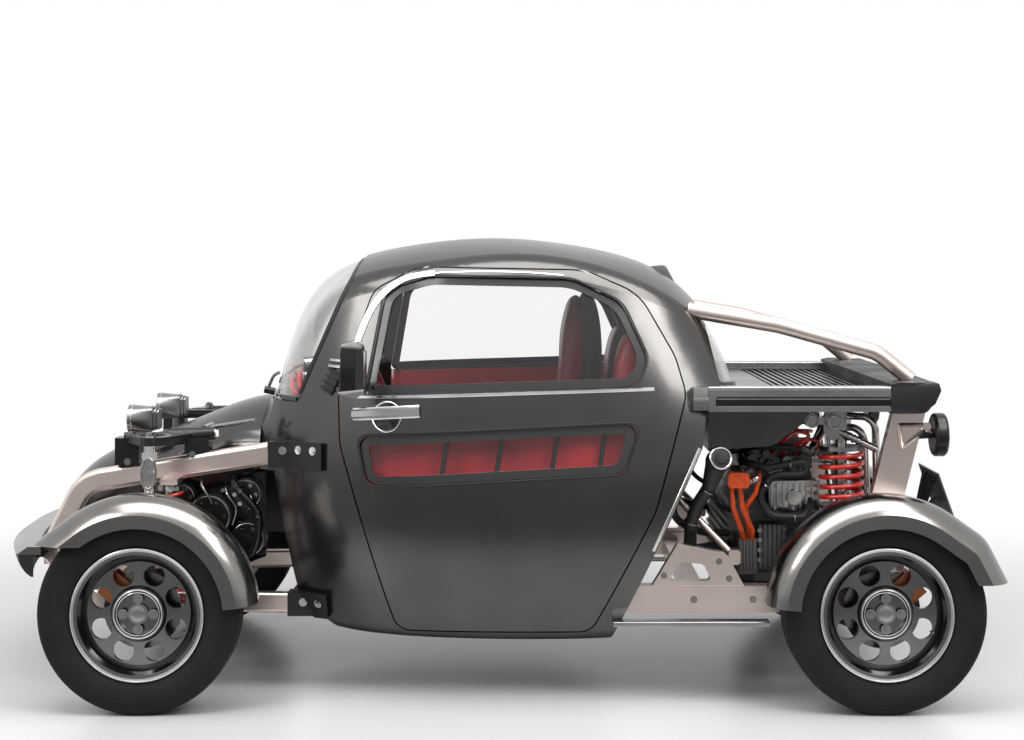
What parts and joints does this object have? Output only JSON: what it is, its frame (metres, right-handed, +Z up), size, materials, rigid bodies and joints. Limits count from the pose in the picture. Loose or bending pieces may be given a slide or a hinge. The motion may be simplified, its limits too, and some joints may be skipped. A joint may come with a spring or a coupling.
{
  "type": "concept car",
  "caption": "Small three-seat open-wheel car with a domed cabin pod, exposed copper-coloured frame, cycle wings, bare front suspension and an open engine bay behind.",
  "frame": {"origin": "on the ground, midway along the car's length and width", "axes": "+X rearward, +Y to the car's right, +Z up"},
  "size_m": [3.4134, 1.8, 1.5653],
  "materials": {
    "body_paint": "dark gunmetal, satin metallic",
    "wing_metal": "satin polished metal",
    "frame_metal": "pinkish copper anodised look",
    "black_metal": "satin black coating",
    "black_plastic": "matte black",
    "clear_glass": "lightly tinted",
    "bright_metal": "polished",
    "alloy": "satin machined",
    "cast_alloy": "as cast",
    "spring_paint": "gloss red",
    "seat_leather": "deep red hide",
    "tyre_rubber": "dark rubber",
    "hose_rubber": "black rubber",
    "caliper_paint": "copper coloured",
    "plate_paint": "dark blank plate",
    "cable_orange": "orange sheath",
    "lamp_lens": "clear lens"
  },
  "bodies": {
    "chassis": {"cabin_shell": "body_paint", "door_left": "body_paint", "door_right": "body_paint", "side_glass": "clear_glass", "windscreen": "clear_glass", "rear_window": "clear_glass", "hood": "body_paint", "grille": "black_metal", "front_frame": "frame_metal", "rail_brackets": "black_metal", "front_bumper": "black_plastic", "bumper_blade": "alloy", "front_arms": "black_metal", "coil_springs": "spring_paint", "dampers": "cast_alloy", "power_cables": "cable_orange", "headlamps": "bright_metal", "front_unit": "black_plastic", "rear_frame": "frame_metal", "roll_tubes": "frame_metal", "deck_rails": "alloy", "deck_tub": "body_paint", "rear_cap": "black_plastic", "rear_wings": "wing_metal", "rear_arms": "black_metal", "rear_calipers": "caliper_paint", "engine": "cast_alloy", "exhaust": "bright_metal", "hoses": "hose_rubber", "tail_lamps": "black_plastic", "number_plate": "plate_paint", "mirrors": "body_paint", "seats": "seat_leather", "dashboard": "seat_leather", "side_steps": "alloy"},
    "knuckle_left": {"knuckle_left": "bright_metal", "front_wing_left": "wing_metal", "front_caliper_left": "caliper_paint"},
    "knuckle_right": {"knuckle_right": "bright_metal", "front_wing_right": "wing_metal", "front_caliper_right": "caliper_paint"},
    "rack": {"steering_rack": "cast_alloy"},
    "steering_wheel": {"steering_wheel": "black_plastic"},
    "wheel_front_left": {"rim_front_left": "alloy", "tyre_front_left": "tyre_rubber"},
    "wheel_front_right": {"rim_front_right": "alloy", "tyre_front_right": "tyre_rubber"},
    "wheel_rear_left": {"rim_rear_left": "alloy", "tyre_rear_left": "tyre_rubber"},
    "wheel_rear_right": {"rim_rear_right": "alloy", "tyre_rear_right": "tyre_rubber"}
  },
  "joints": [
    {"name": "steer_left", "type": "hinge", "parent": "chassis", "child": "knuckle_left", "pos_m": [-1.14, -0.655, 0.212], "axis": [0, 0.053, 0.9986], "range_deg": [-28, 28]},
    {"name": "steer_right", "type": "hinge", "parent": "chassis", "child": "knuckle_right", "pos_m": [-1.14, 0.655, 0.212], "axis": [0, -0.053, 0.9986], "range_deg": [-28.5, 28.5]},
    {"name": "rack_slide", "type": "slide", "parent": "chassis", "child": "rack", "axis": [0, 1, 0], "range_m": [-0.0585, 0.0585]},
    {"name": "steering_wheel_turn", "type": "hinge", "parent": "chassis", "child": "steering_wheel", "pos_m": [-0.405, 0, 0.9863], "axis": [0.923, 0, 0.3849], "range_deg": [-400, 400]},
    {"name": "roll_front_left", "type": "hinge", "parent": "knuckle_left", "child": "wheel_front_left", "pos_m": [-1.14, -0.775, 0.33], "axis": [0, -1, 0], "continuous": true},
    {"name": "roll_front_right", "type": "hinge", "parent": "knuckle_right", "child": "wheel_front_right", "pos_m": [-1.14, 0.775, 0.33], "axis": [0, -1, 0], "continuous": true},
    {"name": "roll_rear_left", "type": "hinge", "parent": "chassis", "child": "wheel_rear_left", "pos_m": [1.31, -0.775, 0.33], "axis": [0, -1, 0], "continuous": true},
    {"name": "roll_rear_right", "type": "hinge", "parent": "chassis", "child": "wheel_rear_right", "pos_m": [1.31, 0.775, 0.33], "axis": [0, -1, 0], "continuous": true}
  ],
  "couplings": [
    {"joint": "steer_right", "follows": "steer_left", "ratio": 1},
    {"joint": "rack_slide", "follows": "steer_left", "m_per_rad": -0.118},
    {"joint": "steering_wheel_turn", "follows": "steer_left", "ratio": 14}
  ]
}
